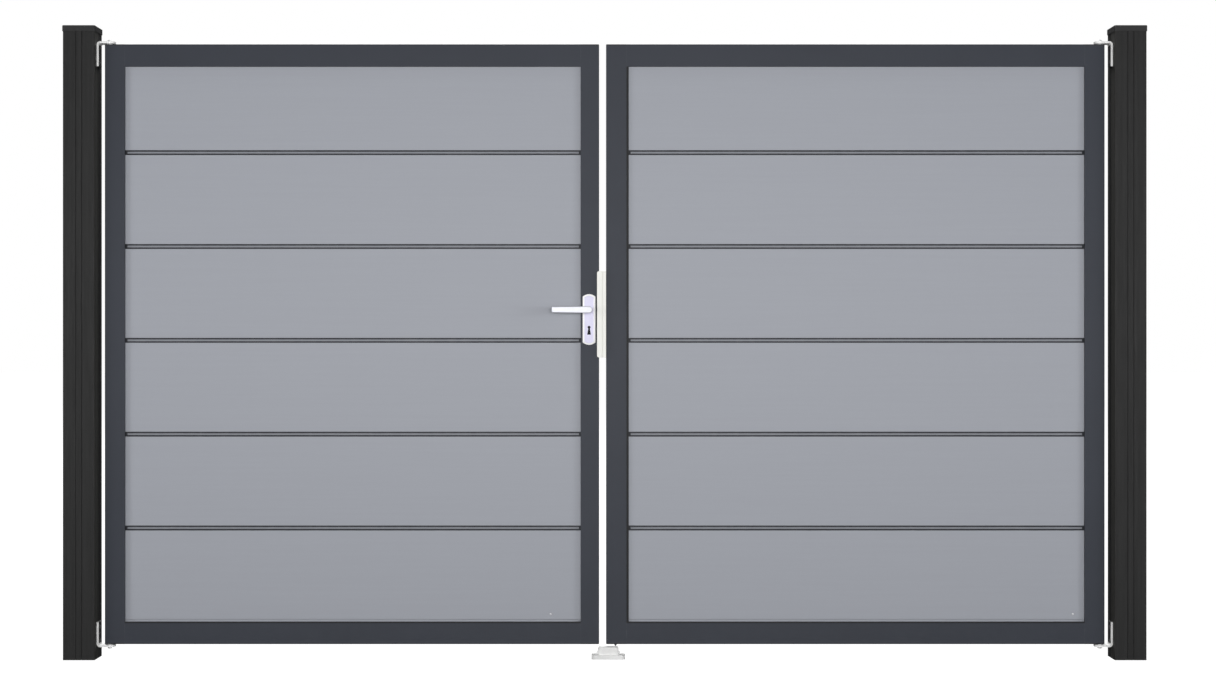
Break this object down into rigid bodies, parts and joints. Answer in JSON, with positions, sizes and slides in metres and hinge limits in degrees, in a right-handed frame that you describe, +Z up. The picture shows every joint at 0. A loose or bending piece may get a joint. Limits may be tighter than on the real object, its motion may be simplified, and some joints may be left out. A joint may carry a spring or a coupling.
{
  "type": "double gate",
  "caption": "Double gate between square posts: framed leaves filled with wide horizontal boards, pivot hinges, lever lock, overlapping keep, drop bolt and ground stop.",
  "frame": {"origin": "centre of the left post's base, at ground level", "axes": "+X along the gate from the left post to the right, +Y to the back, where both leaves open, +Z up"},
  "size_m": [3.242, 0.141, 1.897],
  "materials": {
    "post_composite": "fine brushed, dark grey",
    "cap_composite": "matt dark grey",
    "frame_paint": "powder coated, anthracite",
    "board_paint": "powder coated, silver grey",
    "hinge_steel": "zinc plated",
    "stile_end": "black moulding",
    "handle_silver": "silver anodised",
    "lock_steel": "brushed",
    "keep_white": "off-white, satin",
    "bolt_steel": "dark zinc",
    "stop_silver": "cast, satin"
  },
  "bodies": {
    "posts": {"ground_stop": "stop_silver", "left_bottom_bracket": "hinge_steel", "left_hinge_pins": "hinge_steel", "left_post": "post_composite", "left_post_cap": "cap_composite", "left_top_bracket": "hinge_steel", "right_bottom_bracket": "hinge_steel", "right_hinge_pins": "hinge_steel", "right_post": "post_composite", "right_post_cap": "cap_composite", "right_top_bracket": "hinge_steel"},
    "left_leaf": {"left_hinge_stile": "frame_paint", "lock_stile": "frame_paint", "left_top_rail": "frame_paint", "left_bottom_rail": "frame_paint", "left_pivot_blocks": "stile_end", "lock_stile_caps": "stile_end", "lock_case": "lock_steel", "front_lock_plate": "handle_silver", "rear_lock_plate": "handle_silver", "left_board_1": "board_paint", "left_board_2": "board_paint", "left_board_3": "board_paint", "left_board_4": "board_paint", "left_board_5": "board_paint", "left_board_6": "board_paint"},
    "right_leaf": {"right_hinge_stile": "frame_paint", "meeting_stile": "frame_paint", "right_top_rail": "frame_paint", "right_bottom_rail": "frame_paint", "right_pivot_blocks": "stile_end", "meeting_stile_caps": "stile_end", "lock_keep": "keep_white", "drop_bolt_plate": "bolt_steel", "right_board_1": "board_paint", "right_board_2": "board_paint", "right_board_3": "board_paint", "right_board_4": "board_paint", "right_board_5": "board_paint", "right_board_6": "board_paint"},
    "lever": {"front_lever": "handle_silver", "rear_lever": "handle_silver", "lever_spindle": "lock_steel"},
    "drop_bolt": {"drop_bolt_rod": "bolt_steel"}
  },
  "joints": [
    {"name": "left_leaf_hinge", "type": "hinge", "parent": "posts", "child": "left_leaf", "pos_m": [0.0825, 0, 0.944], "axis": [0, 0, 1], "range_deg": [0, 100]},
    {"name": "right_leaf_hinge", "type": "hinge", "parent": "posts", "child": "right_leaf", "pos_m": [3.0605, 0, 0.944], "axis": [0, 0, -1], "range_deg": [0, 100]},
    {"name": "lever_turn", "type": "hinge", "parent": "left_leaf", "child": "lever", "pos_m": [1.5245, 0, 1.047], "axis": [0, -1, 0], "range_deg": [0, 40], "stiffness_Nm_per_rad": 1.5, "springref_deg": -34.38},
    {"name": "drop_bolt_slide", "type": "slide", "parent": "right_leaf", "child": "drop_bolt", "axis": [0, 0, -1], "range_m": [0, 0.028]}
  ]
}
